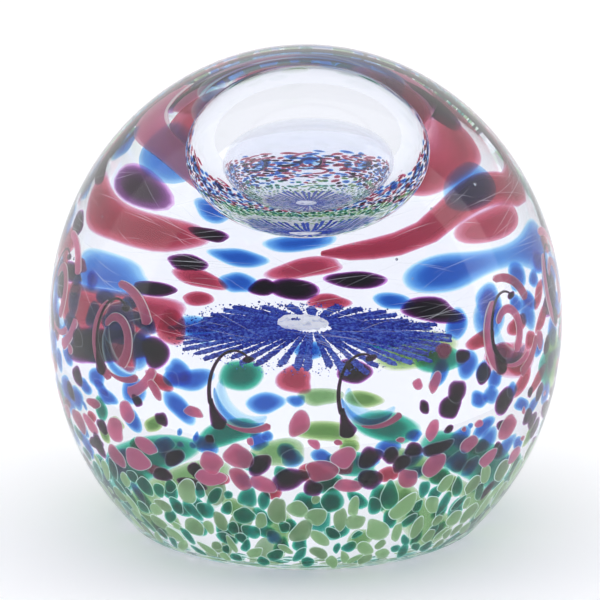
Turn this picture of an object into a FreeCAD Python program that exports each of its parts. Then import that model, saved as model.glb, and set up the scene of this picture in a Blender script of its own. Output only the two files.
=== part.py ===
import FreeCAD, Part
import math
import os
import random

from FreeCAD import Vector

# Blown art-glass paperweight, millimetres. +Z is up, the origin is the centre of the flat foot
# and the front is the -Y side.

# Outer shape: an upper and a lower half-ellipsoid that meet at the belly.
BELLY_R = 40.0
BELLY_Z = 31.7
DOME_RISE = 43.1
BOWL_DROP = 43.6
FOOT_ROUND = 3.0

# The colour layer is trapped between the core and the casing.
CASING_T = 2.2
CASING_FLOOR = 3.0
LAYER_T = 1.1
CORE_RISE = 39.0
LAYER_TOP = 50.5

# Air bubble, flattened, above the flower.
BUBBLE_R = 13.9
BUBBLE_Z = 52.4
BUBBLE_HALF_H = 9.4

# Flower: a shallow cone of powdered ribs with its centre raised.
FLOWER_R = 13.8
FLOWER_Z = 31.9
FLOWER_DROP = 1.8
FLOWER_T = 0.7
RIB_COUNT = 40
CENTRE_R = 2.6
CENTRE_RISE = 0.7

# Pulled swirls round the top of the colour layer.
SWIRL_R = 5.6
SWIRL_DEG = (13, 53, 81, 113, 146, 179, 212, 245, 282, 311, 344)


def quarter_ellipse(rx, rz, z0, top):
    """Quarter of a tall ellipse in the XZ plane, from the pole on the axis to the belly."""
    pole = Vector(0, 0, z0 + rz if top else z0 - rz)
    curve = Part.Ellipse(pole, Vector(rx, 0, z0), Vector(0, 0, z0))
    return Part.Arc(curve, 0, math.pi / 2).toShape()


def turned(edges):
    """Solid of revolution from a closed outline in the XZ plane."""
    wire = Part.Wire(Part.__sortEdges__(edges))
    return Part.Face(wire).revolve(Vector(0, 0, 0), Vector(0, 0, 1), 360)


def egg(rx, rise, drop, z0):
    """Solid with an upper and a lower half-ellipse as its outline."""
    top = quarter_ellipse(rx, rise, z0, True)
    bottom = quarter_ellipse(rx, drop, z0, False)
    axis = Part.makeLine(Vector(0, 0, z0 - drop), Vector(0, 0, z0 + rise))
    return turned([top, bottom, axis])


def footed_egg(rx, rise, drop, z0, floor_z, rounding):
    """Egg cut flat at floor_z, with the foot's edge rounded."""
    keep = Part.makeCylinder(100, 200, Vector(0, 0, floor_z))
    body = egg(rx, rise, drop, z0).common(keep)
    rims = [e for e in body.Edges
            if abs(e.BoundBox.ZMin - floor_z) < 1e-4 and abs(e.BoundBox.ZMax - floor_z) < 1e-4
            and e.Length > 10]
    return body.makeFillet(rounding, rims).Solids[0]


def polygon_turned(points):
    """Solid of revolution from (radius, height) corners."""
    ring = [Vector(r, 0, z) for r, z in points]
    return Part.Face(Part.makePolygon(ring + ring[:1])).revolve(
        Vector(0, 0, 0), Vector(0, 0, 1), 360)


# Mid-surface of the colour layer.
MID_R = BELLY_R - CASING_T - LAYER_T / 2
MID_DROP = BOWL_DROP - CASING_T - LAYER_T / 2
MID_RISE = CORE_RISE - LAYER_T / 2


def mid_radius(z):
    """Radius of the colour layer's mid-surface at height z."""
    semi = MID_RISE if z > BELLY_Z else MID_DROP
    return MID_R * math.sqrt(max(0.0, 1 - ((z - BELLY_Z) / semi) ** 2))


def frame_at(deg, z):
    """Point on the mid-surface with its across, up and outward directions."""
    semi = MID_RISE if z > BELLY_Z else MID_DROP
    r = mid_radius(z)
    nr = r / MID_R ** 2
    nz = (z - BELLY_Z) / semi ** 2
    size = math.hypot(nr, nz)
    c = math.cos(math.radians(deg - 90))
    s = math.sin(math.radians(deg - 90))
    outward = Vector(c * nr / size, s * nr / size, nz / size)
    across = Vector(-s, c, 0)
    return Vector(r * c, r * s, z), across, outward.cross(across), outward


def placed(points, frame):
    """Flat (across, up) points carried onto the tangent plane of a frame."""
    origin, across, up, _ = frame
    return [origin + across * u + up * v for u, v in points]


def plate(points, frame, layer):
    """Piece with this outline that fills the layer's thickness."""
    outward = frame[3]
    ring = [p - outward * 2.6 for p in placed(points, frame)]
    wire = Part.makePolygon(ring + ring[:1])
    return Part.Face(wire).extrude(outward * 5.2).common(layer).Solids


def corners_cut(ring):
    """The same closed outline with each corner taken off."""
    points = []
    for (x0, y0), (x1, y1) in zip(ring, ring[1:] + ring[:1]):
        points.append((0.75 * x0 + 0.25 * x1, 0.75 * y0 + 0.25 * y1))
        points.append((0.25 * x0 + 0.75 * x1, 0.25 * y0 + 0.75 * y1))
    return points


def pebble(rng, half_w, half_h, lean):
    """Irregular rounded outline inside an ellipse."""
    count = 10
    points = []
    for k in range(count):
        a = 2 * math.pi * k / count
        grow = rng.uniform(0.80, 1.0)
        u = half_w * grow * math.cos(a)
        v = half_h * grow * math.sin(a)
        points.append((u * math.cos(lean) - v * math.sin(lean),
                       u * math.sin(lean) + v * math.cos(lean)))
    return corners_cut(points)


def inside(point, ring):
    """True if a flat point lies inside a flat ring."""
    x, y = point
    hit = False
    for (x0, y0), (x1, y1) in zip(ring, ring[1:] + ring[:1]):
        if (y0 > y) != (y1 > y) and x < (x1 - x0) * (y - y0) / (y1 - y0) + x0:
            hit = not hit
    return hit


def clashes(points, frame, other_points, other_frame, gap):
    """True if two outlines meet, judged in the first one's tangent plane."""
    origin, across, up, _ = frame
    ring = [(u * (1 + gap / math.hypot(u, v)), v * (1 + gap / math.hypot(u, v)))
            for u, v in points]
    flat = []
    for p in placed(other_points, other_frame):
        d = p - origin
        flat.append((d.dot(across), d.dot(up)))
    return any(inside(p, ring) for p in flat) or any(inside(p, flat) for p in ring)


def swirl_top(deg):
    """Height of the swirls' upper edge: lowest in front, highest at the sides."""
    a = math.radians((deg + 180) % 360 - 180)
    if abs(a) < math.pi / 2:
        return 37.3 + 9.0 * abs(math.sin(a)) ** 1.5
    return 46.3 - 1.5 * abs(math.cos(a))


def curl(radius0, radius1, width0, width1, start_deg, end_deg, tail):
    """Tapered strand along an arc, with a pointed tail below its first end."""
    steps = 15
    outer = []
    inner = []
    for k in range(steps + 1):
        t = k / steps
        a = math.radians(start_deg + (end_deg - start_deg) * t)
        r = radius0 + (radius1 - radius0) * t
        w = width0 + (width1 - width0) * t
        outer.append(((r + w / 2) * math.cos(a), (r + w / 2) * math.sin(a)))
        inner.append(((r - w / 2) * math.cos(a), (r - w / 2) * math.sin(a)))
    if tail:
        mid_u = (outer[0][0] + inner[0][0]) / 2
        mid_v = (outer[0][1] + inner[0][1]) / 2
        outer.insert(0, (mid_u + 0.9 * tail, mid_v - 0.5 * tail))
    return outer + inner[::-1]


def rib(rng, k):
    """Plan outline of one petal rib, with a granular broken edge."""
    mid = 2 * math.pi * (k + rng.uniform(-0.18, 0.18)) / RIB_COUNT
    tip = FLOWER_R * rng.uniform(0.80, 0.995)
    pitch = 2 * math.pi / RIB_COUNT
    rows = 9
    left = []
    right = []
    for j in range(rows + 1):
        t = j / rows
        r = CENTRE_R + 0.25 + (tip - CENTRE_R - 0.25) * t
        fill = 0.30 * (1 - 0.75 * max(0.0, t - 0.72) / 0.28)
        left.append((r, mid - pitch * fill * rng.uniform(0.7, 1.0)))
        right.append((r, mid + pitch * fill * rng.uniform(0.7, 1.0)))
    return [(r * math.cos(a), r * math.sin(a)) for r, a in left + right[::-1]]


def save(solids, name):
    assert solids, name
    shape = solids[0] if len(solids) == 1 else Part.makeCompound(solids)
    shape.exportStep("parts/" + name + ".step")


os.makedirs("parts", exist_ok=True)

# Glass bodies.
outside = footed_egg(BELLY_R, DOME_RISE, BOWL_DROP, BELLY_Z, 0.0, FOOT_ROUND)
cavity = footed_egg(BELLY_R - CASING_T, CORE_RISE, BOWL_DROP - CASING_T, BELLY_Z,
                    CASING_FLOOR, FOOT_ROUND)
bowl = footed_egg(BELLY_R - CASING_T - LAYER_T, CORE_RISE - LAYER_T,
                  BOWL_DROP - CASING_T - LAYER_T, BELLY_Z, CASING_FLOOR + LAYER_T, FOOT_ROUND)
below_rim = Part.makeCylinder(100, LAYER_TOP, Vector(0, 0, 0))
layer = cavity.common(below_rim).cut(bowl).Solids[0]
core = cavity.cut(layer).Solids[0]

edge_z = FLOWER_Z - FLOWER_DROP
seat_line = [(FLOWER_R, edge_z), (0, FLOWER_Z)]
roof_line = [(FLOWER_R, edge_z), (FLOWER_R, edge_z + FLOWER_T),
             (CENTRE_R, FLOWER_Z - FLOWER_DROP * CENTRE_R / FLOWER_R + FLOWER_T),
             (CENTRE_R * 0.7, FLOWER_Z + FLOWER_T + CENTRE_RISE * 0.7),
             (0, FLOWER_Z + FLOWER_T + CENTRE_RISE)]
below = [(0, -1), (60, -1), (60, edge_z)]
flower_seat = polygon_turned(below + seat_line)
flower_seat_and_slot = polygon_turned(below + roof_line)
slot = polygon_turned(seat_line[::-1] + roof_line[1:])
bubble_line = Part.Ellipse(Vector(BUBBLE_R, 0, BUBBLE_Z), Vector(0, 0, BUBBLE_Z + BUBBLE_HALF_H),
                           Vector(0, 0, BUBBLE_Z))
bubble = turned([Part.Arc(bubble_line, -math.pi / 2, math.pi / 2).toBSpline().toShape(),
                 Part.makeLine(Vector(0, 0, BUBBLE_Z - BUBBLE_HALF_H),
                               Vector(0, 0, BUBBLE_Z + BUBBLE_HALF_H))])

save([outside.cut(cavity).Solids[0]], "outer_casing")
save([core.common(flower_seat).Solids[0]], "first_gather")
save([core.cut(flower_seat_and_slot).cut(bubble).Solids[0]], "second_gather")

# Flower.
rng = random.Random(11)
centre_post = Part.makeCylinder(CENTRE_R, 10, Vector(0, 0, FLOWER_Z - 5))
save([slot.common(centre_post).Solids[0]], "flower_centre")
ribs = []
for k in range(RIB_COUNT):
    ring = [Vector(x, y, FLOWER_Z - 5) for x, y in rib(rng, k)]
    blade = Part.Face(Part.makePolygon(ring + ring[:1])).extrude(Vector(0, 0, 10))
    ribs.extend(blade.common(slot).Solids)
save(ribs, "flower_ribs")

# Swirls: three nested strands each.
rng = random.Random(5)
taken = []
for k, deg in enumerate(SWIRL_DEG):
    spot = frame_at(deg, swirl_top(deg) - SWIRL_R - 0.9)
    turn = rng.uniform(-12, 12)
    r = SWIRL_R
    kinds = (("aubergine", curl(r, r - 0.3, 1.7, 0.5, 292 + turn, 62 + turn, 2.4)),
             ("rose", curl(r, r + 0.4, 1.4, 0.7, 309 + turn, 357 + turn, 0)),
             ("blue", curl(r - 1.7, r - 1.6, 1.0, 1.2, 322 + turn, 100 + turn, 0)))
    for colour, outline in kinds:
        save(plate(outline, spot, layer), "swirl_%02d_%s" % (k + 1, colour))
    guard = [((r + 1.2) * math.cos(a * math.pi / 8), (r + 1.2) * math.sin(a * math.pi / 8))
             for a in range(16)]
    guard[13:15] = [(5.4, -8.0), (6.2, -4.4)]
    taken.append((guard, spot))

# Chips: lower edge and upper edge of each zone, how many are tried, half width, half height,
# and the share of each colour.
ZONES = (
    (5.2, 13.5, 1400, (1.2, 2.1), (1.3, 2.8),
     (("sage", 0.52), ("deep_green", 0.38), ("blue", 0.10))),
    (13.5, 26.0, 700, (1.4, 2.6), (1.3, 2.5),
     (("rose", 0.34), ("aubergine", 0.24), ("blue", 0.27), ("deep_green", 0.09),
      ("yellow_green", 0.06))),
    (26.0, 38.0, 160, (1.2, 2.3), (1.2, 2.3),
     (("rose", 0.36), ("aubergine", 0.28), ("blue", 0.30), ("yellow_green", 0.06))),
)
chips = {"sage": [], "deep_green": [], "yellow_green": [], "rose": [], "aubergine": [],
         "blue": []}
for low, high, tries, widths, heights, shares in ZONES:
    for _ in range(tries):
        deg = rng.uniform(0, 360)
        z = rng.uniform(low, high)
        colour = rng.choices([c for c, _ in shares], [w for _, w in shares])[0]
        outline = pebble(rng, rng.uniform(*widths), rng.uniform(*heights), rng.uniform(-0.6, 0.6))
        spot = frame_at(deg, z)
        if z > swirl_top(deg) - 5.0:
            continue
        near = [t for t in taken if (t[1][0] - spot[0]).Length < 13]
        if any(clashes(outline, spot, ring, frame, 0.25) for ring, frame in near):
            continue
        taken.append((outline, spot))
        chips[colour].extend(plate(outline, spot, layer))
for colour, solids in chips.items():
    save(solids, "chips_" + colour)
    print(colour, len(solids))
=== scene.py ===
import math
import random

import bpy
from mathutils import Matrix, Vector, noise


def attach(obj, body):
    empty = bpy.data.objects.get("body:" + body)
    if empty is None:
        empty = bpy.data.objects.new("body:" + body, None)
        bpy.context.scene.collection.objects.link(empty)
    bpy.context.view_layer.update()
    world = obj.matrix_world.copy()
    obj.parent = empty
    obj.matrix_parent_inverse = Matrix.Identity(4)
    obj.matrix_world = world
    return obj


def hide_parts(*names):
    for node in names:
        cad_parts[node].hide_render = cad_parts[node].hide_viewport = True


# A blown art-glass paperweight. Shapes are worked out in millimetres and built in metres.
# The front is the -Y side, and angles round the weight are degrees from the front towards +X.

MM = 0.001

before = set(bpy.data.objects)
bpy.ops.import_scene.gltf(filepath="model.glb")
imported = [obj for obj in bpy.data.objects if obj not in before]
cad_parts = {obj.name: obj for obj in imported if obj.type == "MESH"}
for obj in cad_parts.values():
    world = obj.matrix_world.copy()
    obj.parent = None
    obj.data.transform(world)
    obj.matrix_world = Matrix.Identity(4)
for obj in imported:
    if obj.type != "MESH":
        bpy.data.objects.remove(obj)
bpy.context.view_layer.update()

# Outer shape, as in the CAD part.
BELLY_R = 40.0
BELLY_Z = 31.7
DOME_RISE = 43.1
BOWL_DROP = 43.6
FOOT_R = 26.4
KNEE_Z = 1.3
KNEE_PULL = 0.75
WALL_BEND_R = 42.0

# Air bubble, a little off the axis and tilted.
BUBBLE_R = 13.8
BUBBLE_Z = 52.6
BUBBLE_UP = 9.2
BUBBLE_DOWN = 9.5
BUBBLE_SHIFT = 0.25
BUBBLE_TILT = 0.012

# Flower: powdered ribs on a shallow tilted cone, and a white centre.
FLOWER_Z = 31.6
FLOWER_DROP = 2.1
FLOWER_DROP_R = 14.8
FLOWER_TIP_R = 15.0
FLOWER_ROOT_R = 2.2
FLOWER_TILT = -0.030
FLOWER_SHIFT = 0.6
RIBS = 40
GRAINS = 1500
GRAINS_R = 14.6
STRAY_GRAINS = 16
STRAY_LIFT = 0.88
HEART_R = 2.45
HEART_SHIFT = -0.4
HEART_LIFT = 0.35

# Swirls round the top of the colour layer. Those past ASIDE_DEG from the front are fuller.
SWIRL_DEG = (13, 53, 81, 113, 146, 179, 212, 245, 282, 311, 344)
SWIRL_R = 6.3
SWIRL_DEPTH = 2.6
SWIRL_DROP = 0.4
TOP_FRONT = 37.3
TOP_RISE = 9.0
TOP_SIDE = 46.3
TOP_BACK_DIP = 1.5
ASIDE_DEG = 30
LAYER_R = 36.0
CURL_STEPS = 26

# Chips. No two touch whose centres are further apart than CHIP_REACH. A tone above SOFT marks
# a soft chip. A zone that starts past BACK_DEG is a zone at the back. The chips past
# BY_HAND_DEG and between BY_HAND_Z are listed one by one.
CHIP_REACH = 14.0
SOFT = 1.0
BACK_DEG = 100
BY_HAND_DEG = 161
BY_HAND_Z = (10.0, 34.5)
GROUND_R = 25.0
GROUND_Z = 3.4
GROUND_TRIES = 300

STRIAE = 320
SEED_BUBBLES = 16

# Floor, light and camera, in metres and degrees, with the sensor in millimetres. Softbox:
# direction, half width, half height, light.
FLOOR_SIZE = 8.0
FLOOR_Z = -0.00005
ROOM_LIGHT = 1.04
SOFTBOXES = (
    ((-1.0, 0.10, 0.42), 0.30, 0.40, 1.5),
    ((1.0, 0.05, 0.30), 0.16, 0.45, 2.0),
    ((0.0, 0.15, 1.0), 0.52, 0.30, 1.4),
)
CAMERA_ELEVATION = 17.0
CAMERA_DISTANCE = 0.8
CAMERA_TARGET = (-0.00088, 0.0, 0.0349)
SENSOR_WIDTH = 36.0
VIEW_WIDTH = 0.0934


# ---------------------------------------------------------------- meshes

class Pieces:
    """Collects vertices and faces, with a thickness and a tone for each vertex."""

    def __init__(self):
        self.verts = []
        self.faces = []
        self.thick = []
        self.tone = []

    def add(self, verts, faces, thick, tone):
        base = len(self.verts)
        self.verts.extend(verts)
        self.faces.extend([tuple(base + i for i in f) for f in faces])
        self.thick.extend(thick)
        self.tone.extend([tone] * len(verts))

    def add_plain(self, verts, faces, tone=0.5):
        """Adds a shape whose material doesn't depend on its thickness."""
        self.add(verts, faces, [1.0] * len(verts), tone)

    def build(self, name, material, slot, nodes):
        """Makes the object, which rides on root and stands for the CAD nodes."""
        mesh = bpy.data.meshes.new(name)
        mesh.from_pydata([(x * MM, y * MM, z * MM) for x, y, z in self.verts], [], self.faces)
        mesh.polygons.foreach_set("use_smooth", [True] * len(mesh.polygons))
        for label, values in (("thick", self.thick), ("tone", self.tone)):
            layer = mesh.attributes.new(label, "FLOAT", "POINT")
            layer.data.foreach_set("value", values)
        obj = bpy.data.objects.new(name, mesh)
        bpy.context.scene.collection.objects.link(obj)
        mesh.materials.append(material)
        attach(obj, "root")
        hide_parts(*nodes)


def lathe(profile, count, inward=False):
    """Vertices and faces of a turned surface from (radius, height) points, bottom first."""
    verts = []
    faces = []
    rings = []
    for r, z in profile:
        if r < 1e-6:
            rings.append([len(verts)])
            verts.append((0.0, 0.0, z))
            continue
        ring = []
        for i in range(count):
            a = 2 * math.pi * i / count
            ring.append(len(verts))
            verts.append((r * math.cos(a), r * math.sin(a), z))
        rings.append(ring)
    for low, high in zip(rings, rings[1:]):
        for i in range(count):
            j = (i + 1) % count
            if len(low) == 1:
                face = (low[0], high[j], high[i])
            elif len(high) == 1:
                face = (low[i], low[j], high[0])
            else:
                face = (low[i], low[j], high[j], high[i])
            faces.append(face[::-1] if inward else face)
    return verts, faces


def outer_profile():
    """Shallow hollow under the foot, rounded edge, bowl and dome."""
    edge_steps = 12
    bowl_steps = 72
    dome_steps = 96
    points = [(0.0, 0.45), (FOOT_R * 0.5, 0.43), (FOOT_R - 2.5, 0.30), (FOOT_R - 0.8, 0.06),
              (FOOT_R - 0.3, 0.0)]
    knee = math.asin((BELLY_Z - KNEE_Z) / BOWL_DROP)
    knee_r = BELLY_R * math.cos(knee)
    corner_r = knee_r - KNEE_PULL
    for i in range(edge_steps + 1):
        s = i / edge_steps
        b0 = (1 - s) ** 2
        b1 = 2 * s * (1 - s)
        b2 = s * s
        points.append((b0 * FOOT_R + b1 * corner_r + b2 * knee_r, b2 * KNEE_Z))
    for i in range(1, bowl_steps + 1):
        a = knee * (1 - i / bowl_steps)
        points.append((BELLY_R * math.cos(a), BELLY_Z - BOWL_DROP * math.sin(a)))
    for i in range(1, dome_steps + 1):
        a = math.pi / 2 * i / dome_steps
        r = 0.0 if i == dome_steps else BELLY_R * math.cos(a)
        points.append((r, BELLY_Z + DOME_RISE * math.sin(a)))
    return points


def oval_profile(r, z0, up, down, steps=80):
    """Half outline of a flattened bubble, from its lowest point to its highest."""
    points = []
    for i in range(steps + 1):
        a = -math.pi / 2 + math.pi * i / steps
        height = up if a > 0 else down
        radius = 0.0 if i in (0, steps) else r * math.cos(a)
        points.append((radius, z0 + height * math.sin(a)))
    return points


class Spot:
    """A place under the outer wall with its across, up and outward directions."""

    def __init__(self, deg, z, depth):
        semi = DOME_RISE if z > BELLY_Z else BOWL_DROP
        r = BELLY_R * math.sqrt(max(1e-6, 1 - ((z - BELLY_Z) / semi) ** 2))
        nr = r / BELLY_R ** 2
        nz = (z - BELLY_Z) / semi ** 2
        size = math.hypot(nr, nz)
        c = math.cos(math.radians(deg - 90))
        s = math.sin(math.radians(deg - 90))
        self.out = Vector((c * nr / size, s * nr / size, nz / size))
        self.across = Vector((-s, c, 0.0))
        self.up = self.out.cross(self.across)
        self.at = Vector((r * c, r * s, z)) - self.out * depth
        self.bend_u = 0.5 / max(12.0, r - depth)
        self.bend_v = 0.5 / WALL_BEND_R

    def point(self, u, v, w):
        """Point at u across, v up and w out, which follows the wall's curve."""
        w = w - u * u * self.bend_u - v * v * self.bend_v
        return self.at + self.across * u + self.up * v + self.out * w


class FloorSpot:
    """A level place inside the foot."""

    def __init__(self, x, y, z):
        self.at = Vector((x, y, z))

    def point(self, u, v, w):
        return self.at + Vector((u, v, w))


def pebble(rng, spot, half_w, half_h, lean, half_t, tone, tear=0.0):
    """Lens-shaped irregular chip along the wall. A tear above 0 narrows its upper end."""
    count = 28
    rows = 6
    waves = [(k, rng.uniform(0, 6.283), amp * rng.uniform(0.3, 1.0))
             for k, amp in ((2, 0.09), (3, 0.08), (4, 0.05), (5, 0.03))]
    cl = math.cos(lean)
    sl = math.sin(lean)
    verts = []
    thick = []
    faces = []

    def place(ratio, a, side):
        grow = 1 + sum(amp * math.cos(k * a + ph) for k, ph, amp in waves)
        u = half_w * ratio * grow * math.cos(a)
        v = half_h * ratio * grow * math.sin(a)
        u *= 1 - tear * v / half_h
        t = math.sqrt(max(0.0, 1 - ratio * ratio))
        verts.append(spot.point(u * cl - v * sl, u * sl + v * cl, side * half_t * t))
        thick.append(t)

    for side in (1, -1):
        base = len(verts)
        place(0.0, 0.0, side)
        for j in range(1, rows + 1):
            ratio = math.sin(math.pi / 2 * j / rows)
            if j == rows and side < 0:
                break
            for i in range(count):
                place(ratio, 2 * math.pi * i / count, side)
        if side > 0:
            rim = base + 1 + (rows - 1) * count

        def ring(j, i):
            if j == 0:
                return base
            if j == rows:
                return rim + i % count
            return base + 1 + (j - 1) * count + i % count

        for j in range(rows):
            for i in range(count):
                if j == 0:
                    face = (ring(0, 0), ring(1, i), ring(1, i + 1))
                else:
                    face = (ring(j, i), ring(j + 1, i), ring(j + 1, i + 1), ring(j, i + 1))
                faces.append(face if side > 0 else face[::-1])
    return verts, faces, thick, tone


def strand(spot, line, widths, half_t, tone, lift=0.0, strength=1.0):
    """Tapered flattened strand along (across, up) points. A low strength is a pale one."""
    steps = 14
    verts = []
    faces = []
    thick = []
    last = len(line) - 1
    for k, (u, v) in enumerate(line):
        u0, v0 = line[max(0, k - 1)]
        u1, v1 = line[min(last, k + 1)]
        size = math.hypot(u1 - u0, v1 - v0)
        du = (u1 - u0) / size
        dv = (v1 - v0) / size
        w = widths[k]
        h = half_t * min(1.0, 0.35 + w / 0.9)
        for i in range(steps):
            a = 2 * math.pi * i / steps
            off = w * math.cos(a)
            verts.append(spot.point(u - dv * off, v + du * off, lift + h * math.sin(a)))
            thick.append(strength * abs(math.sin(a)))
    for k in range(last):
        for i in range(steps):
            j = (i + 1) % steps
            a = k * steps
            b = a + steps
            faces.append((a + i, a + j, b + j, b + i))
    for k, back in ((0, True), (last, False)):
        u, v = line[k]
        centre = len(verts)
        verts.append(spot.point(u, v, lift))
        thick.append(0.5 * strength)
        for i in range(steps):
            j = (i + 1) % steps
            face = (k * steps + i, k * steps + j, centre)
            faces.append(face[::-1] if back else face)
    return verts, faces, thick, tone


def curl(r, start, end, flat=1.0, grow=0.0, centre=(0.0, 0.0)):
    """Points of an arc from start to end in degrees, squeezed across by flat."""
    line = []
    for k in range(CURL_STEPS + 1):
        t = k / CURL_STEPS
        a = math.radians(start + (end - start) * t)
        rr = r * (1 + grow * t)
        line.append((centre[0] + rr * flat * math.cos(a), centre[1] + rr * math.sin(a)))
    return line


def taper(first, last):
    """Half widths along a curl, drawn in at both ends."""
    widths = []
    for k in range(CURL_STEPS + 1):
        widths.append(first + (last - first) * (k / CURL_STEPS) ** 0.7)
    widths[0] *= 0.4
    widths[-1] *= 0.35
    return widths


# ---------------------------------------------------------------- materials

def new_material(name):
    """Empty material with its nodes and links."""
    material = bpy.data.materials.new(name)
    material.use_nodes = True
    material.node_tree.nodes.clear()
    return material, material.node_tree.nodes, material.node_tree.links


def attribute(nodes, label):
    """Value of a vertex attribute of the mesh."""
    node = nodes.new("ShaderNodeAttribute")
    node.attribute_name = label
    return node.outputs["Fac"]


def grain(nodes, links, scale, detail):
    """Noise over the object."""
    place = nodes.new("ShaderNodeTexCoord")
    node = nodes.new("ShaderNodeTexNoise")
    node.inputs["Scale"].default_value = scale
    node.inputs["Detail"].default_value = detail
    links.new(place.outputs["Object"], node.inputs["Vector"])
    return node.outputs["Fac"]


def maths(nodes, links, operation, a, b=0.0):
    """Result of a maths node, held between 0 and 1."""
    node = nodes.new("ShaderNodeMath")
    node.operation = operation
    node.use_clamp = True
    for socket, value in zip(node.inputs, (a, b)):
        if isinstance(value, (int, float)):
            socket.default_value = value
        else:
            links.new(value, socket)
    return node.outputs[0]


def ramp(nodes, links, source, stops):
    """Colour ramp over the source, from (place, colour) stops."""
    node = nodes.new("ShaderNodeValToRGB")
    node.color_ramp.interpolation = "EASE"
    elements = node.color_ramp.elements
    while len(elements) < len(stops):
        elements.new(0.5)
    for element, (place, colour) in zip(elements, stops):
        element.position = place
        element.color = (*colour, 1.0)
    links.new(source, node.inputs[0])
    return node.outputs[0]


def grey_ramp(nodes, links, source, stops):
    """Ramp from (place, value) stops."""
    return ramp(nodes, links, source, [(place, (value,) * 3) for place, value in stops])


def mixed(nodes, links, factor, first, second):
    """First shader at a factor of 0 and second at 1."""
    node = nodes.new("ShaderNodeMixShader")
    if isinstance(factor, float):
        node.inputs[0].default_value = factor
    else:
        links.new(factor, node.inputs[0])
    links.new(first, node.inputs[1])
    links.new(second, node.inputs[2])
    return node.outputs[0]


def scattered(nodes, links, colour, through, light):
    """Opal glass: colour sent back or let through, plus a painted glow, an emission in the same
    colour.
    """
    rough = nodes.new("ShaderNodeBsdfDiffuse")
    glow = nodes.new("ShaderNodeBsdfTranslucent")
    painted_glow = nodes.new("ShaderNodeEmission")
    for shader in (rough, glow, painted_glow):
        links.new(colour, shader.inputs["Color"])
    # light is the strength of the painted glow, which shines whatever the lamps do.
    painted_glow.inputs["Strength"].default_value = light
    both = nodes.new("ShaderNodeAddShader")
    links.new(mixed(nodes, links, through, rough.outputs[0], glow.outputs[0]), both.inputs[0])
    links.new(painted_glow.outputs[0], both.inputs[1])
    return both.outputs[0]


def finish_material(material, nodes, links, look, solid_colour):
    """Traced look seen through the glass, with a plain solid for a ray straight from outside."""
    solid = nodes.new("ShaderNodeBsdfPrincipled")
    solid.inputs["Base Color"].default_value = (*solid_colour, 1.0)
    solid.inputs["Roughness"].default_value = 0.25
    path = nodes.new("ShaderNodeLightPath")
    output = nodes.new("ShaderNodeOutputMaterial")
    links.new(mixed(nodes, links, path.outputs["Is Camera Ray"], look, solid.outputs[0]),
              output.inputs["Surface"])
    return material


def chip_material(name, edge, middle, deep, body, cover, painted_rim_glow, soft_depth, solid):
    """Coloured glass: light is filtered more where the chip is thick, and body scatters it.

    cover is how much is scattered, and painted_rim_glow is the strength of the painted rim glow,
    a pale emission near the thin edge. A soft chip has no painted rim glow, scatters less, and
    filters more by soft_depth.
    """
    material, nodes, links = new_material(name)
    thick = attribute(nodes, "thick")
    tone = attribute(nodes, "tone")
    soft = maths(nodes, links, "GREATER_THAN", tone, SOFT)
    filtered = ramp(nodes, links, thick,
                    ((0.05, (1.0, 1.0, 1.0)), (0.32, edge), (0.62, middle), (0.93, deep)))
    deeper = nodes.new("ShaderNodeMix")
    deeper.data_type = "RGBA"
    deeper.blend_type = "MULTIPLY"
    links.new(maths(nodes, links, "MULTIPLY", soft, soft_depth), deeper.inputs[0])
    links.new(filtered, deeper.inputs[6])
    links.new(filtered, deeper.inputs[7])
    clear = nodes.new("ShaderNodeBsdfTransparent")
    links.new(deeper.outputs[2], clear.inputs["Color"])

    dark_body = tuple(c * 0.72 for c in body)
    bright_body = tuple(min(1, c * 1.2) for c in body)
    shade = ramp(nodes, links, maths(nodes, links, "FRACT", tone),
                 ((0.0, dark_body), (1.0, bright_body)))
    # 0.16 is the strength of the painted glow in the chip's colour.
    scatter = scattered(nodes, links, shade, 0.45, 0.16)
    amount = grey_ramp(nodes, links, thick, ((0.12, 0.0), (0.42, 0.9), (1.0, 1.0)))
    amount = maths(nodes, links, "MULTIPLY", amount, cover)
    less = maths(nodes, links, "SUBTRACT", 1.0, maths(nodes, links, "MULTIPLY", soft, 0.7))
    amount = maths(nodes, links, "MULTIPLY", amount, less)
    look = mixed(nodes, links, amount, clear.outputs[0], scatter)

    # Painted rim glow: a pale emission mixed in where the chip is thin, near its edge.
    pale = nodes.new("ShaderNodeEmission")
    pale.inputs["Color"].default_value = (0.72, 0.88, 0.84, 1.0)
    line = grey_ramp(nodes, links, thick, ((0.04, painted_rim_glow), (0.22, painted_rim_glow), (0.34, 0.0)))
    line = maths(nodes, links, "MULTIPLY", line, maths(nodes, links, "SUBTRACT", 1.0, soft))
    look = mixed(nodes, links, line, look, pale.outputs[0])
    return finish_material(material, nodes, links, look, solid)


def clear_glass():
    """Faintly blue clear glass."""
    material, nodes, links = new_material("clear_glass")
    glass = nodes.new("ShaderNodeBsdfPrincipled")
    glass.inputs["Base Color"].default_value = (0.84, 0.86, 0.925, 1.0)
    glass.inputs["Roughness"].default_value = 0.0
    glass.inputs["IOR"].default_value = 1.52
    glass.inputs["Transmission Weight"].default_value = 1.0
    output = nodes.new("ShaderNodeOutputMaterial")
    links.new(glass.outputs[0], output.inputs["Surface"])
    return material


def powder_material():
    """Blue glass powder with paler grains, a little different from rib to rib."""
    material, nodes, links = new_material("blue_powder")
    fine = grain(nodes, links, 2600.0, 3.0)
    rib = maths(nodes, links, "MULTIPLY", attribute(nodes, "tone"), 0.10)
    colour = ramp(nodes, links, maths(nodes, links, "ADD", fine, rib),
                  ((0.36, (0.018, 0.030, 0.34)), (0.54, (0.045, 0.085, 0.66)),
                   (0.68, (0.16, 0.32, 0.92))))
    # 0.06 is the strength of the painted glow in the powder's colour.
    look = scattered(nodes, links, colour, 0.3, 0.06)
    return finish_material(material, nodes, links, look, (0.03, 0.05, 0.42))


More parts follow.
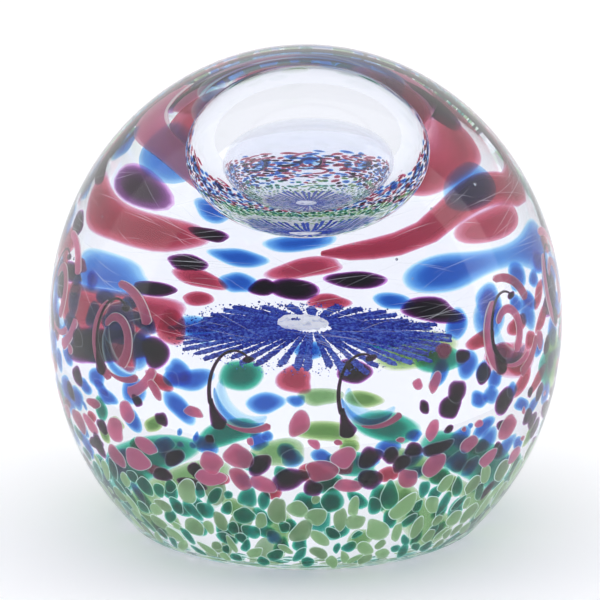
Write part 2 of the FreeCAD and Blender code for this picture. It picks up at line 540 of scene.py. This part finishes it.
def white_material():
    """Opaque white glass with pale blue folds."""
    material, nodes, links = new_material("white_glass")
    colour = ramp(nodes, links, grain(nodes, links, 900.0, 4.0),
                  ((0.30, (0.62, 0.65, 0.75)), (0.50, (0.98, 0.98, 1.0)), (0.7, (1.0,) * 3)))
    # 0.22 is the strength of the painted glow in the white glass's colour.
    look = scattered(nodes, links, colour, 0.4, 0.22)
    return finish_material(material, nodes, links, look, (0.92, 0.92, 0.94))


def striae_material():
    """Hair-fine pale lines, half clear, with a painted glow: they give off pale light of their
    own.
    """
    material, nodes, links = new_material("striae")
    # Painted glow: the lines emit pale light rather than catching it.
    glow = nodes.new("ShaderNodeEmission")
    glow.inputs["Color"].default_value = (0.90, 0.92, 1.0, 1.0)
    glow.inputs["Strength"].default_value = 0.85
    clear = nodes.new("ShaderNodeBsdfTransparent")
    look = mixed(nodes, links, 0.42, clear.outputs[0], glow.outputs[0])
    return finish_material(material, nodes, links, look, (0.9, 0.9, 0.95))


CHIP_LOOKS = {
    "sage": chip_material(
        "sage_glass", edge=(0.93, 0.97, 0.92), middle=(0.80, 0.90, 0.74),
        deep=(0.56, 0.74, 0.50), body=(0.44, 0.64, 0.35), cover=0.66, painted_rim_glow=0.80,
        soft_depth=0.6, solid=(0.36, 0.52, 0.29)),
    "deep_green": chip_material(
        "deep_green_glass", edge=(0.82, 0.96, 0.92), middle=(0.20, 0.72, 0.60),
        deep=(0.01, 0.42, 0.36), body=(0.0, 0.36, 0.29), cover=0.25, painted_rim_glow=0.60,
        soft_depth=0.25, solid=(0.0, 0.25, 0.18)),
    "yellow_green": chip_material(
        "yellow_green_glass", edge=(0.95, 0.97, 0.88), middle=(0.70, 0.82, 0.56),
        deep=(0.40, 0.58, 0.30), body=(0.30, 0.45, 0.18), cover=0.15, painted_rim_glow=0.1,
        soft_depth=0.3, solid=(0.22, 0.30, 0.08)),
    "rose": chip_material(
        "rose_glass", edge=(0.98, 0.86, 0.93), middle=(0.88, 0.50, 0.58),
        deep=(0.72, 0.27, 0.36), body=(0.95, 0.27, 0.47), cover=0.55, painted_rim_glow=0.4,
        soft_depth=0.75, solid=(0.50, 0.12, 0.22)),
    "aubergine": chip_material(
        "aubergine_glass", edge=(0.88, 0.66, 0.90), middle=(0.36, 0.14, 0.38),
        deep=(0.10, 0.015, 0.07), body=(0.04, 0.004, 0.03), cover=0.12, painted_rim_glow=0.14,
        soft_depth=0.6, solid=(0.03, 0.006, 0.025)),
    "blue": chip_material(
        "blue_glass", edge=(0.78, 0.94, 1.0), middle=(0.42, 0.68, 0.92),
        deep=(0.14, 0.38, 0.74), body=(0.05, 0.17, 0.50), cover=0.05, painted_rim_glow=0.1,
        soft_depth=0.35, solid=(0.06, 0.18, 0.52)),
}


# ---------------------------------------------------------------- clear body

def build_clear_body():
    """Turned body with the large air bubble and a few seed bubbles in it."""
    glass = Pieces()
    glass.add_plain(*lathe(outer_profile(), 256))
    verts, faces = lathe(oval_profile(BUBBLE_R, BUBBLE_Z, BUBBLE_UP, BUBBLE_DOWN), 192,
                         inward=True)
    glass.add_plain([(x + BUBBLE_SHIFT, y, z + BUBBLE_TILT * x) for x, y, z in verts], faces)
    rng = random.Random(21)
    for _ in range(SEED_BUBBLES):
        size = rng.uniform(0.10, 0.28)
        spot = Spot(rng.uniform(0, 360), rng.uniform(20, 60), rng.uniform(3.5, 12))
        verts, faces = lathe(oval_profile(size, 0.0, size, size, 10), 14, inward=True)
        glass.add_plain([Vector(v) + spot.at for v in verts], faces)
    glass.build("clear_body", clear_glass(), "clear_glass",
                ("outer_casing", "first_gather", "second_gather"))


def build_striae():
    """Fine pale striae drawn round in the clear gather, some of them crossing."""
    hairs = Pieces()
    rng = random.Random(77)
    along = [-1 + k / 4 for k in range(9)]
    for _ in range(STRIAE):
        spot = Spot(rng.uniform(-170, 190), rng.uniform(39, 60), rng.uniform(1.6, 3.0))
        slant = rng.gauss(0.12, 0.22) * rng.choice((-1, 1))
        half = rng.uniform(2.0, 7.5)
        sag = rng.uniform(-0.25, 0.25)
        line = [(half * t * math.cos(slant), half * t * math.sin(slant) + sag * t * t)
                for t in along]
        fine = rng.uniform(0.012, 0.032)
        hairs.add(*strand(spot, line, [fine * (1.05 - abs(t)) for t in along], 0.03, 0.5))
    hairs.build("striae", striae_material(), "clear_glass", ("second_gather",))


# ---------------------------------------------------------------- swirls

def from_front(deg):
    """The same angle between -180 and 180."""
    return (deg + 180) % 360 - 180


def swirl_top(deg):
    """Upper edge of the swirls: lowest in front, highest at the sides."""
    a = math.radians(from_front(deg))
    if abs(a) < math.pi / 2:
        return TOP_FRONT + TOP_RISE * abs(math.sin(a)) ** 1.5
    return TOP_SIDE - TOP_BACK_DIP * abs(math.cos(a))


def dark_swirl(rng, spot, deg, z, size, turn):
    """Line up the left of the swirl and over its top, with a blob and a widening foot."""
    dark = Pieces()
    line = curl(size, 205 + turn, 64 + turn, 0.62, -0.04)
    dark.add(*strand(spot, line, taper(0.42, 0.16), 0.36, rng.random()))
    u, v = line[-1]
    dark.add(*pebble(rng, Spot(deg + math.degrees(u / LAYER_R), z + v, 2.5),
                     0.95, 0.55, 0.25, 0.4, rng.random()))
    bend = rng.uniform(0.006, 0.024)
    u, v = line[0]
    foot = [(u + 0.04 * k + bend * k * k, v + 1.2 - 0.46 * k) for k in range(11)]
    wedge = [0.32 + 1.6 * (k / 10) ** 1.5 for k in range(9)] + [1.25, 0.45]
    dark.add(*strand(spot, foot, wedge, 0.42, rng.random()))
    return dark


# Rose curls of the swirls away from the front: radius against the swirl's, start and end in
# degrees, flatness, growth, first and last half width, lift.
SIDE_CURLS = (
    (0.94, 262, 120, 0.80, -0.02, 1.0, 0.5, -0.5),
    (0.50, 150, -60, 0.80, 0.25, 0.5, 0.9, -0.3),
    (1.28, 296, 344, 0.95, 0.08, 0.95, 0.7, -0.4),
    (1.30, 100, 30, 0.90, -0.08, 0.5, 0.95, -0.6),
)


def rose_swirl(rng, spot, size, turn, aside):
    """Short curl under the swirl, and four broader ones away from the front."""
    rose = Pieces()
    line = curl(size * 0.97, 243 + turn, 306 + turn, centre=(1.6, 0.5))
    rose.add(*strand(spot, line, taper(0.10, 0.62), 0.5, rng.random(), -0.2))
    if aside:
        for ratio, start, end, flat, grow, first, last, lift in SIDE_CURLS:
            line = curl(size * ratio, start + turn, end + turn, flat, grow)
            rose.add(*strand(spot, line, taper(first, last), 0.6, rng.random(), lift))
    return rose


def blue_swirl(rng, spot, deg, middle, size, turn, aside):
    """Two pale crescents inside the swirl, and two blue chips behind it away from the front."""
    blue = Pieces()
    wide = [0.2 + 1.25 * abs(math.sin(math.pi * k / CURL_STEPS)) ** 0.7
            for k in range(CURL_STEPS + 1)]
    narrow = [0.5 * w for w in wide]
    line = curl(size * 0.74, 165 + turn, 312 + turn, 0.86, centre=(1.8, 0.2))
    blue.add(*strand(spot, line, wide, 0.3, rng.random(), -0.9, 0.42))
    line = curl(size * 0.88, 186 + turn, 300 + turn, 0.88, centre=(1.6, 0.4))
    blue.add(*strand(spot, line, narrow, 0.3, rng.random(), -1.6, 0.75))
    if aside:
        blue.add(*pebble(rng, Spot(deg + rng.uniform(-6, 2), middle + rng.uniform(-1, 3), 4.2),
                         3.2, 3.8, rng.uniform(-0.5, 0.5), 0.6, rng.random()))
        blue.add(*pebble(rng, Spot(deg + rng.uniform(7, 12), middle + rng.uniform(-3, 1), 4.4),
                         2.0, 3.2, rng.uniform(-0.5, 0.5), 0.6, rng.random()))
    return blue


def build_swirls(taken):
    """Builds the swirls and adds the room that each one needs to taken."""
    rng = random.Random(8)
    for number, deg in enumerate(SWIRL_DEG, 1):
        size = SWIRL_R * rng.uniform(0.93, 1.08)
        middle = swirl_top(deg) - size
        z = middle - SWIRL_DROP
        spot = Spot(deg, z, SWIRL_DEPTH)
        turn = rng.uniform(-9, 9)
        aside = abs(from_front(deg)) > ASIDE_DEG
        tag = "swirl_%02d_" % number
        layers = (("aubergine", dark_swirl(rng, spot, deg, z, size, turn)),
                  ("rose", rose_swirl(rng, spot, size, turn, aside)),
                  ("blue", blue_swirl(rng, spot, deg, middle, size, turn, aside)))
        for colour, pieces in layers:
            pieces.build(tag + colour + "_strand", CHIP_LOOKS[colour], colour + "_glass",
                         (tag + colour,))
        taken.append((spot, size * 0.80, size * 0.95, 0.0, 0))


# ---------------------------------------------------------------- chips

def reach(half_w, half_h, lean, u, v):
    """Radius of a leaning ellipse in the direction (u, v)."""
    a = math.atan2(v, u) - lean
    return half_w * half_h / math.hypot(half_h * math.cos(a), half_w * math.sin(a))


def blocked(taken, spot, half_w, half_h, lean, layer, slack):
    """Whether a chip would lie on another of its layer. A slack under 1 lets them overlap."""
    for other, ow, oh, ol, other_layer in taken:
        if other_layer != layer:
            continue
        d = other.at - spot.at
        far = d.length
        if far > CHIP_REACH:
            continue
        room = reach(half_w, half_h, lean, d.dot(spot.across), d.dot(spot.up))
        room += reach(ow, oh, ol, -d.dot(other.across), -d.dot(other.up))
        if far < room * slack:
            return True
    return False


# Zone: lowest and highest centre, tries, half widths, half heights, depth, layer, slack,
# nearest and furthest angle from the front, shares of the colours.
ZONES = (
    (1.6, 4.8, 1900, (0.6, 1.2), (1.2, 2.4), 0.9, 0, 0.92, 0, 112,
     (("sage", 0.42), ("deep_green", 0.58))),
    (4.6, 14.0, 3200, (0.8, 1.8), (1.2, 2.9), 2.5, 0, 0.87, 0, 112,
     (("sage", 0.47), ("deep_green", 0.44), ("blue", 0.05), ("rose", 0.02), ("aubergine", 0.02))),
    (1.6, 14.0, 500, (0.6, 1.3), (0.8, 1.8), 2.0, 0, 1.35, 112, 180,
     (("sage", 0.42), ("deep_green", 0.42), ("blue", 0.16))),
    (5.0, 14.0, 1500, (0.5, 1.0), (0.6, 1.2), 2.4, 0, 1.0, 0, 180,
     (("sage", 0.50), ("deep_green", 0.44), ("blue", 0.06))),
    (13.5, 21.5, 3400, (1.4, 3.0), (1.2, 2.4), 2.4, 0, 0.85, 0, 140,
     (("rose", 0.37), ("aubergine", 0.31), ("blue", 0.19), ("deep_green", 0.09), ("sage", 0.04))),
    (13.0, 24.0, 900, (0.4, 1.1), (0.4, 1.1), 2.4, 0, 1.15, 0, 140,
     (("rose", 0.30), ("aubergine", 0.26), ("blue", 0.44))),
    (21.5, 36.0, 520, (0.8, 2.2), (0.8, 2.2), 2.6, 0, 1.15, 0, 110,
     (("rose", 0.32), ("aubergine", 0.24), ("blue", 0.42), ("yellow_green", 0.02))),
    (3.0, 13.0, 420, (1.0, 2.1), (1.4, 2.8), 4.0, 1, 1.05, 0, 112,
     (("deep_green", 0.70), ("sage", 0.20), ("yellow_green", 0.10))),
    (13.0, 24.0, 1300, (1.3, 2.6), (1.0, 2.0), 3.9, 1, 1.0, 0, 180,
     (("blue", 0.34), ("deep_green", 0.26), ("aubergine", 0.18), ("rose", 0.10),
      ("yellow_green", 0.12))),
    (24.0, 46.0, 1300, (1.4, 3.4), (1.1, 2.8), 4.1, 1, 0.90, 30, 110,
     (("blue", 0.60), ("rose", 0.24), ("aubergine", 0.16))),
    (22.0, 44.0, 1600, (1.0, 3.0), (0.5, 1.2), 2.6, 2, 1.0, 105, 180,
     (("blue", 0.42), ("rose", 0.32), ("aubergine", 0.26))),
    (22.0, 50.0, 1200, (1.4, 3.6), (0.6, 1.5), 4.1, 1, 1.05, 105, 180,
     (("blue", 0.50), ("rose", 0.32), ("aubergine", 0.18))),
)

# Chips at the back, which the glass in front magnifies: angle, height, half width,
# half height, lean and colour.
BACK_CHIPS = (
    (194.8, 30.4, 2.5, 1.9, 0.2, "aubergine"),
    (190.3, 31.4, 2.1, 1.0, -0.5, "blue"),
    (193.0, 33.6, 2.2, 0.9, -0.3, "rose"),
    (197.5, 28.2, 1.5, 0.8, 0.3, "blue"),
    (192.5, 27.1, 2.9, 1.1, 0.1, "rose"),
    (188.0, 29.2, 1.0, 0.8, 0.5, "blue"),
    (187.0, 33.0, 2.3, 0.8, -0.5, "rose"),
    (197.5, 32.6, 1.5, 0.9, 0.4, "blue"),
    (184.5, 31.7, 1.6, 0.5, -0.2, "aubergine"),
    (181.0, 33.6, 2.0, 0.6, 0.0, "rose"),
    (178.0, 32.3, 1.8, 0.5, 0.1, "blue"),
    (173.5, 31.9, 1.5, 0.8, 0.4, "aubergine"),
    (171.0, 30.8, 1.8, 1.0, 0.6, "rose"),
    (167.0, 30.0, 1.7, 1.3, 0.9, "blue"),
    (167.8, 24.5, 2.1, 1.4, -0.3, "blue"),
    (165.0, 27.4, 1.6, 1.0, 0.3, "rose"),
    (196.8, 24.3, 2.3, 1.5, 0.0, "blue"),
    (188.5, 27.4, 1.0, 0.45, 0.2, "aubergine"),
    (186.0, 25.7, 1.7, 0.65, 0.2, "blue"),
    (180.5, 26.8, 2.2, 0.6, -0.1, "blue"),
    (193.3, 23.4, 1.0, 0.5, 0.0, "aubergine"),
    (190.4, 25.3, 1.0, 0.6, 0.0, "aubergine"),
    (189.4, 24.1, 1.5, 0.65, 0.3, "rose"),
    (186.1, 23.8, 1.1, 0.8, 0.2, "blue"),
    (180.0, 25.0, 2.3, 0.75, -0.15, "rose"),
    (183.9, 23.5, 0.9, 0.6, 0.0, "aubergine"),
    (181.0, 23.3, 1.5, 0.85, 0.2, "aubergine"),
    (175.3, 24.0, 1.8, 0.65, 0.0, "aubergine"),
    (189.8, 22.7, 0.9, 0.5, 0.0, "rose"),
    (177.8, 22.4, 1.3, 0.6, 0.0, "rose"),
    (172.0, 22.4, 1.2, 0.6, 0.2, "blue"),
    (168.5, 21.9, 1.6, 0.9, 0.2, "aubergine"),
    (194.0, 21.5, 2.0, 1.5, 0.0, "rose"),
    (190.0, 20.4, 1.3, 0.9, 0.5, "blue"),
    (196.0, 19.4, 1.8, 1.2, 0.0, "aubergine"),
    (186.0, 17.0, 1.35, 1.15, 0.2, "deep_green"),
    (169.5, 18.8, 2.4, 1.2, -0.5, "yellow_green"),
    (167.5, 18.3, 1.2, 1.0, 0.0, "deep_green"),
    (173.0, 19.6, 1.3, 0.8, 0.3, "deep_green"),
    (175.3, 17.2, 1.1, 0.9, 0.0, "aubergine"),
    (181.0, 16.6, 1.2, 1.0, 0.3, "rose"),
    (179.6, 18.7, 1.0, 0.7, 0.2, "blue"),
    (174.3, 15.2, 1.2, 0.6, 0.1, "yellow_green"),
    (190.5, 16.8, 1.2, 0.8, 0.0, "blue"),
    (178.5, 15.4, 1.3, 0.7, 0.0, "sage"),
    (184.0, 14.8, 1.2, 0.8, 0.0, "blue"),
    (172.0, 13.2, 2.0, 1.1, 0.2, "deep_green"),
    (166.5, 12.3, 1.8, 1.3, 0.0, "deep_green"),
    (169.5, 11.0, 1.6, 0.8, 0.4, "sage"),
    (178.0, 12.8, 1.9, 0.8, 0.1, "yellow_green"),
    (182.5, 11.6, 1.6, 1.0, 0.0, "sage"),
    (187.5, 12.9, 1.8, 1.0, -0.2, "deep_green"),
    (193.0, 12.2, 2.0, 1.2, 0.1, "deep_green"),
    (190.0, 10.6, 1.7, 0.8, 0.0, "sage"),
    (175.5, 10.8, 1.5, 0.8, 0.0, "deep_green"),
)


def lay_chips(chips, rng, taken):
    """Chips of every zone, laid at random where there is room."""
    for low, high, tries, widths, heights, depth, layer, slack, near, far, shares in ZONES:
        back = near > BACK_DEG
        headroom = 4.0 if back else 0.0 if layer else -6.0
        most_lean = 0.3 if back else 0.7
        base_tone = SOFT if layer or back else 0.0
        for _ in range(tries):
            deg = rng.uniform(near, far) * rng.choice((-1, 1))
            z = rng.uniform(low, high)
            half_w = rng.uniform(*widths)
            half_h = rng.uniform(*heights)
            lean = rng.uniform(-most_lean, most_lean)
            if z > swirl_top(deg) + headroom:
                continue
            if abs(deg) > BY_HAND_DEG and BY_HAND_Z[0] < z < BY_HAND_Z[1]:
                continue
            spot = Spot(deg, z, depth + rng.uniform(-0.15, 0.25))
            if blocked(taken, spot, half_w, half_h, lean, layer, slack):
                continue
            taken.append((spot, half_w, half_h, lean, layer))
            colour = rng.choices([c for c, _ in shares], [w for _, w in shares])[0]
            chips[colour].add(*pebble(rng, spot, half_w, half_h, lean, rng.uniform(0.4, 0.6),
                                      rng.random() + base_tone, rng.uniform(-0.22, 0.22)))


def lay_back_chips(chips, rng):
    """The listed chips, and a long rose arc among them."""
    for deg, z, half_w, half_h, lean, colour in BACK_CHIPS:
        spot = Spot(deg, z, rng.uniform(2.5, 3.6))
        chips[colour].add(*pebble(rng, spot, half_w, half_h, lean, rng.uniform(0.5, 0.65),
                                  rng.uniform(SOFT + 0.05, SOFT + 0.95),
                                  rng.uniform(-0.2, 0.2)))
    arc = ((-3.4, 2.6), (-3.3, 1.9), (-3.0, 1.0), (-2.0, -0.3), (-0.6, -1.0), (0.7, -1.3),
           (2.0, -1.5), (3.6, -1.6))
    widths = (0.5, 0.75, 0.9, 0.9, 0.85, 0.75, 0.6, 0.15)
    chips["rose"].add(*strand(Spot(173, 27.5, 2.4), arc, widths, 0.5, SOFT + 0.5))


def lay_ground_chips(chips, rng):
    """Chips lying flat inside the foot."""
    ground = []
    for _ in range(GROUND_TRIES):
        r = GROUND_R * math.sqrt(rng.random())
        a = rng.uniform(0, 2 * math.pi)
        size = rng.uniform(0.6, 1.5)
        x = r * math.cos(a)
        y = r * math.sin(a)
        if any(math.hypot(x - gx, y - gy) < 1.15 * (size + gs) for gx, gy, gs in ground):
            continue
        ground.append((x, y, size))
        colour = rng.choices(("sage", "deep_green"), (0.6, 0.4))[0]
        chips[colour].add(*pebble(rng, FloorSpot(x, y, GROUND_Z), size * 1.15, size * 0.9,
                                  rng.uniform(0, 3.1), 0.5, rng.random()))


def build_chips(taken):
    """One piece for each colour of chip. taken holds the room that is already used."""
    chips = {colour: Pieces() for colour in CHIP_LOOKS}
    rng = random.Random(4)
    lay_chips(chips, rng, taken)
    lay_back_chips(chips, rng)
    lay_ground_chips(chips, rng)
    for colour, pieces in chips.items():
        pieces.build(colour + "_chips", CHIP_LOOKS[colour], colour + "_glass",
                     ("chips_" + colour,))


# ---------------------------------------------------------------- flower

def cone_z(r):
    """Height of the flower's shallow cone, without its tilt."""
    return FLOWER_Z - FLOWER_DROP * (r / FLOWER_DROP_R) ** 1.15


def rib_half_width(r, t):
    """Half width of a rib at the radius r, which is t of the way out."""
    pitch = 2 * math.pi * r / RIBS
    fill = 0.52 - 0.26 * min(1.0, t / 0.45)
    if t > 0.9:
        fill *= 0.1 + 0.9 * math.sqrt(1 - (t - 0.9) / 0.1)
    return min(pitch * fill * (1 + 0.10 * t), 0.52)


def rib(rng, number):
    """One ragged rib of powder, domed above and below, closed at both ends."""
    rows = 64
    columns = 8
    mid = 2 * math.pi * (number + rng.uniform(-0.15, 0.15)) / RIBS
    tip = FLOWER_TIP_R * rng.uniform(0.80, 1.0)
    twist = rng.uniform(-0.03, 0.03)
    seed = rng.uniform(0, 900)
    verts = []
    faces = []
    for j in range(rows + 1):
        t = j / rows
        r = FLOWER_ROOT_R + (tip - FLOWER_ROOT_R) * t
        half = rib_half_width(r, t)
        for side in (1, -1):
            for i in range(columns + 1):
                s = -1 + 2 * i / columns
                edge = 1 + 0.50 * noise.noise(Vector((seed + s * 2, t * 22, 3.1)))
                edge += 0.45 * noise.noise(Vector((seed, t * 60, 7.7 + s)))
                off = s * half * edge
                a = mid + twist * t + off / r
                hill = 0.17 * math.sqrt(max(0.0, 1 - s * s))
                rough = 0.13 * noise.noise(Vector((r * 4.1, off * 5 + seed, side * 3)))
                rr = r + 0.30 * noise.noise(Vector((r * 3, off * 6, seed)))
                x = rr * math.cos(a) + FLOWER_SHIFT
                y = rr * math.sin(a)
                verts.append((x, y, cone_z(r) + FLOWER_TILT * x + side * hill + rough))
    wide = 2 * (columns + 1)
    for j in range(rows):
        for side in (0, 1):
            for i in range(columns):
                p = j * wide + side * (columns + 1) + i
                face = (p, p + wide, p + wide + 1, p + 1)
                faces.append(face if side == 0 else face[::-1])
    for j in (0, rows):
        for i in range(columns):
            p = j * wide + i
            q = p + columns + 1
            faces.append((p, p + 1, q + 1, q) if j == 0 else (q, q + 1, p + 1, p))
    return verts, faces


def add_grain(powder, rng, x, y, z, size):
    """Octahedral grain of powder with uneven corners."""
    corners = []
    for dx, dy, dz in ((1, 0, 0), (-1, 0, 0), (0, 1, 0), (0, -1, 0), (0, 0, 1), (0, 0, -1)):
        s = size * rng.uniform(0.6, 1.3)
        corners.append((x + dx * s, y + dy * s, z + dz * s))
    powder.add_plain(corners, [(0, 2, 4), (2, 1, 4), (1, 3, 4), (3, 0, 4),
                               (2, 0, 5), (1, 2, 5), (3, 1, 5), (0, 3, 5)])


def build_powder():
    """Ribs, loose grains along their broken edges, and a pinch strayed onto the centre."""
    powder = Pieces()
    rng = random.Random(14)
    for number in range(RIBS):
        verts, faces = rib(rng, number)
        powder.add_plain(verts, faces, rng.random())
    for _ in range(GRAINS):
        r = GRAINS_R * math.sqrt(rng.uniform(0.12, 1.0))
        a = rng.uniform(0, 2 * math.pi)
        size = rng.uniform(0.04, 0.13)
        x = r * math.cos(a)
        y = r * math.sin(a)
        add_grain(powder, rng, x, y, cone_z(r) + FLOWER_TILT * x + rng.uniform(-0.25, 0.3), size)
    for _ in range(STRAY_GRAINS):
        x = rng.gauss(-1.1, 0.28)
        y = rng.gauss(-0.5, 0.22)
        add_grain(powder, rng, x, y, FLOWER_Z + STRAY_LIFT + FLOWER_TILT * x,
                  rng.uniform(0.08, 0.17))
    powder.build("flower_powder", powder_material(), "blue_powder", ("flower_ribs",))


def build_heart():
    """Crumpled white blob in the middle of the flower."""
    rows = 12
    count = 40
    verts = []
    faces = []
    for side in (1, -1):
        base = len(verts)
        for j in range(rows + 1):
            ratio = j / rows
            for i in range(count):
                a = 2 * math.pi * i / count
                wave = noise.noise(Vector((math.cos(a) * 1.4, math.sin(a) * 1.4, 5.0)))
                grow = HEART_R * (1 + 0.20 * wave)
                x = grow * ratio * math.cos(a) * 1.12
                y = grow * ratio * math.sin(a) * 0.95
                lift = 0.5 * math.sqrt(max(0.0, 1 - ratio * ratio))
                crumple = 0.34 * noise.noise(Vector((x * 2.2, y * 2.2, 2.0 + side)))
                z = FLOWER_Z + HEART_LIFT + FLOWER_TILT * x + side * lift + crumple
                verts.append((x + HEART_SHIFT, y, z))
        for j in range(rows):
            for i in range(count):
                n = (i + 1) % count
                p = base + j * count
                face = (p + i, p + count + i, p + count + n, p + n)
                faces.append(face if side > 0 else face[::-1])
    heart = Pieces()
    heart.add_plain(verts, faces)
    heart.build("flower_heart", white_material(), "white_glass", ("flower_centre",))


# ---------------------------------------------------------------- floor, light and camera

def lay_floor():
    """Pale matt floor with a little light of its own."""
    bpy.ops.mesh.primitive_plane_add(size=FLOOR_SIZE, location=(0, 0, FLOOR_Z))
    floor = bpy.context.object
    floor.name = "floor"
    material, nodes, links = new_material("floor")
    paper = nodes.new("ShaderNodeBsdfPrincipled")
    paper.inputs["Base Color"].default_value = (0.94, 0.94, 0.94, 1.0)
    paper.inputs["Roughness"].default_value = 1.0
    paper.inputs["Emission Color"].default_value = (1.0, 1.0, 1.0, 1.0)
    paper.inputs["Emission Strength"].default_value = 0.20
    output = nodes.new("ShaderNodeOutputMaterial")
    links.new(paper.outputs[0], output.inputs["Surface"])
    floor.data.materials.append(material)


def smooth_range(nodes, links, source, low, high):
    """0 at low and 1 at high, eased between them."""
    node = nodes.new("ShaderNodeMapRange")
    node.interpolation_type = "SMOOTHSTEP"
    node.inputs["From Min"].default_value = low
    node.inputs["From Max"].default_value = high
    links.new(source, node.inputs["Value"])
    return node.outputs["Result"]


def dot_product(nodes, links, source, axis):
    """How far the source direction goes along the axis."""
    node = nodes.new("ShaderNodeVectorMath")
    node.operation = "DOT_PRODUCT"
    node.inputs[1].default_value = axis
    links.new(source, node.inputs[0])
    return node.outputs["Value"]


def softbox(nodes, links, toward, colour, aim, width, height, light):
    """Adds a bright soft-edged panel to the room, centred in the direction aim."""
    aim = Vector(aim).normalized()
    side = Vector((0, 0, 1)).cross(aim).normalized()
    masks = []
    for axis, half in ((side, width), (aim.cross(side), height)):
        off = maths(nodes, links, "ABSOLUTE", dot_product(nodes, links, toward, axis))
        masks.append(smooth_range(nodes, links, off, half * 1.12, half * 0.90))
    ahead = maths(nodes, links, "GREATER_THAN", dot_product(nodes, links, toward, aim))
    mask = maths(nodes, links, "MULTIPLY", maths(nodes, links, "MULTIPLY", *masks), ahead)
    mix = nodes.new("ShaderNodeMix")
    mix.data_type = "RGBA"
    links.new(mask, mix.inputs[0])
    links.new(colour, mix.inputs[6])
    mix.inputs[7].default_value = (light, light, light, 1.0)
    return mix.outputs[2]


def light_room():
    """White room, greyer and bluer in front of the weight, with softboxes."""
    world = bpy.data.worlds.new("studio")
    bpy.context.scene.world = world
    world.use_nodes = True
    nodes = world.node_tree.nodes
    links = world.node_tree.links
    back = nodes["Background"]
    place = nodes.new("ShaderNodeTexCoord")
    toward = place.outputs["Generated"]
    split = nodes.new("ShaderNodeSeparateXYZ")
    links.new(toward, split.inputs[0])
    room = ramp(nodes, links, smooth_range(nodes, links, split.outputs["Y"], -0.70, 0.10),
                ((0.0, (0.38, 0.40, 0.49)), (0.55, (0.66, 0.69, 0.78)), (1.0, (1.0, 1.0, 1.0))))
    for aim, width, height, light in SOFTBOXES:
        room = softbox(nodes, links, toward, room, aim, width, height, light)
    links.new(room, back.inputs["Color"])
    back.inputs["Strength"].default_value = ROOM_LIGHT


def place_camera():
    """Camera at the photograph's angle, aimed so that the weight fills the same frame."""
    elevation = math.radians(CAMERA_ELEVATION)
    target = Vector(CAMERA_TARGET)
    lens = bpy.data.cameras.new("camera")
    camera = bpy.data.objects.new("camera", lens)
    bpy.context.scene.collection.objects.link(camera)
    back = Vector((0, -math.cos(elevation), math.sin(elevation)))
    camera.location = target + back * CAMERA_DISTANCE
    camera.rotation_mode = "QUATERNION"
    camera.rotation_quaternion = (target - camera.location).to_track_quat("-Z", "Y")
    lens.sensor_width = SENSOR_WIDTH
    lens.lens = SENSOR_WIDTH * CAMERA_DISTANCE / VIEW_WIDTH
    lens.clip_start = 0.01
    bpy.context.scene.camera = camera


def set_light_paths():
    """Colours as they are, and enough bounces for chips seen through many layers of glass."""
    scene = bpy.context.scene
    scene.view_settings.view_transform = "Standard"
    scene.cycles.max_bounces = 32
    scene.cycles.transmission_bounces = 24
    scene.cycles.transparent_max_bounces = 64
    scene.cycles.caustics_refractive = True
    scene.cycles.caustics_reflective = True


taken = []
build_clear_body()
build_striae()
build_swirls(taken)
build_chips(taken)
build_powder()
build_heart()
lay_floor()
light_room()
place_camera()
set_light_paths()
